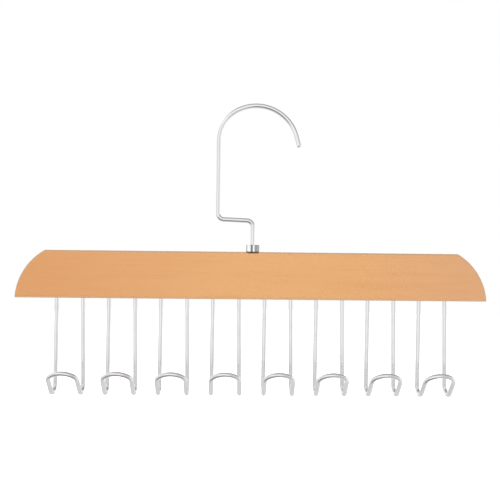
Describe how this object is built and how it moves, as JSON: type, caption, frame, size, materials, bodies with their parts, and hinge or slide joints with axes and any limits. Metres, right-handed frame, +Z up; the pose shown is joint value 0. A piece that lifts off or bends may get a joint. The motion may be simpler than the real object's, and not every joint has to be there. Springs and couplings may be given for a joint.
{
  "type": "tie hanger",
  "caption": "Flat wooden bar with rounded ends on a swivelling wire hook, with a row of wire loops bent forwards at the foot to hold ties.",
  "frame": {"origin": "the rail seat, the inner top of the hook's arc, where it rests on a rail", "axes": "+Z up, +X along the bar towards the side on which the hook is open, +Y to the back; the loops' fronts point to -Y"},
  "size_m": [0.382, 0.031, 0.2371],
  "materials": {
    "varnished_wood": "clear satin varnish over fine pale grain",
    "chromed_wire": "bright chrome on steel wire",
    "chromed_ferrule": "bright chrome on a turned steel collar",
    "washer_steel": "plain stamped steel"
  },
  "bodies": {
    "hook": {"swivel_hook": "chromed_wire", "retaining_washer": "washer_steel"},
    "hanger": {"bar": "varnished_wood", "ferrule": "chromed_ferrule", "wire_loop_1": "chromed_wire", "wire_loop_2": "chromed_wire", "wire_loop_3": "chromed_wire", "wire_loop_4": "chromed_wire", "wire_loop_5": "chromed_wire", "wire_loop_6": "chromed_wire", "wire_loop_7": "chromed_wire", "wire_loop_8": "chromed_wire"}
  },
  "joints": [
    {"name": "hook_swivel", "type": "hinge", "parent": "hook", "child": "hanger", "pos_m": [-0.00237, 0, -0.1175], "axis": [0, 0, 1], "continuous": true}
  ]
}
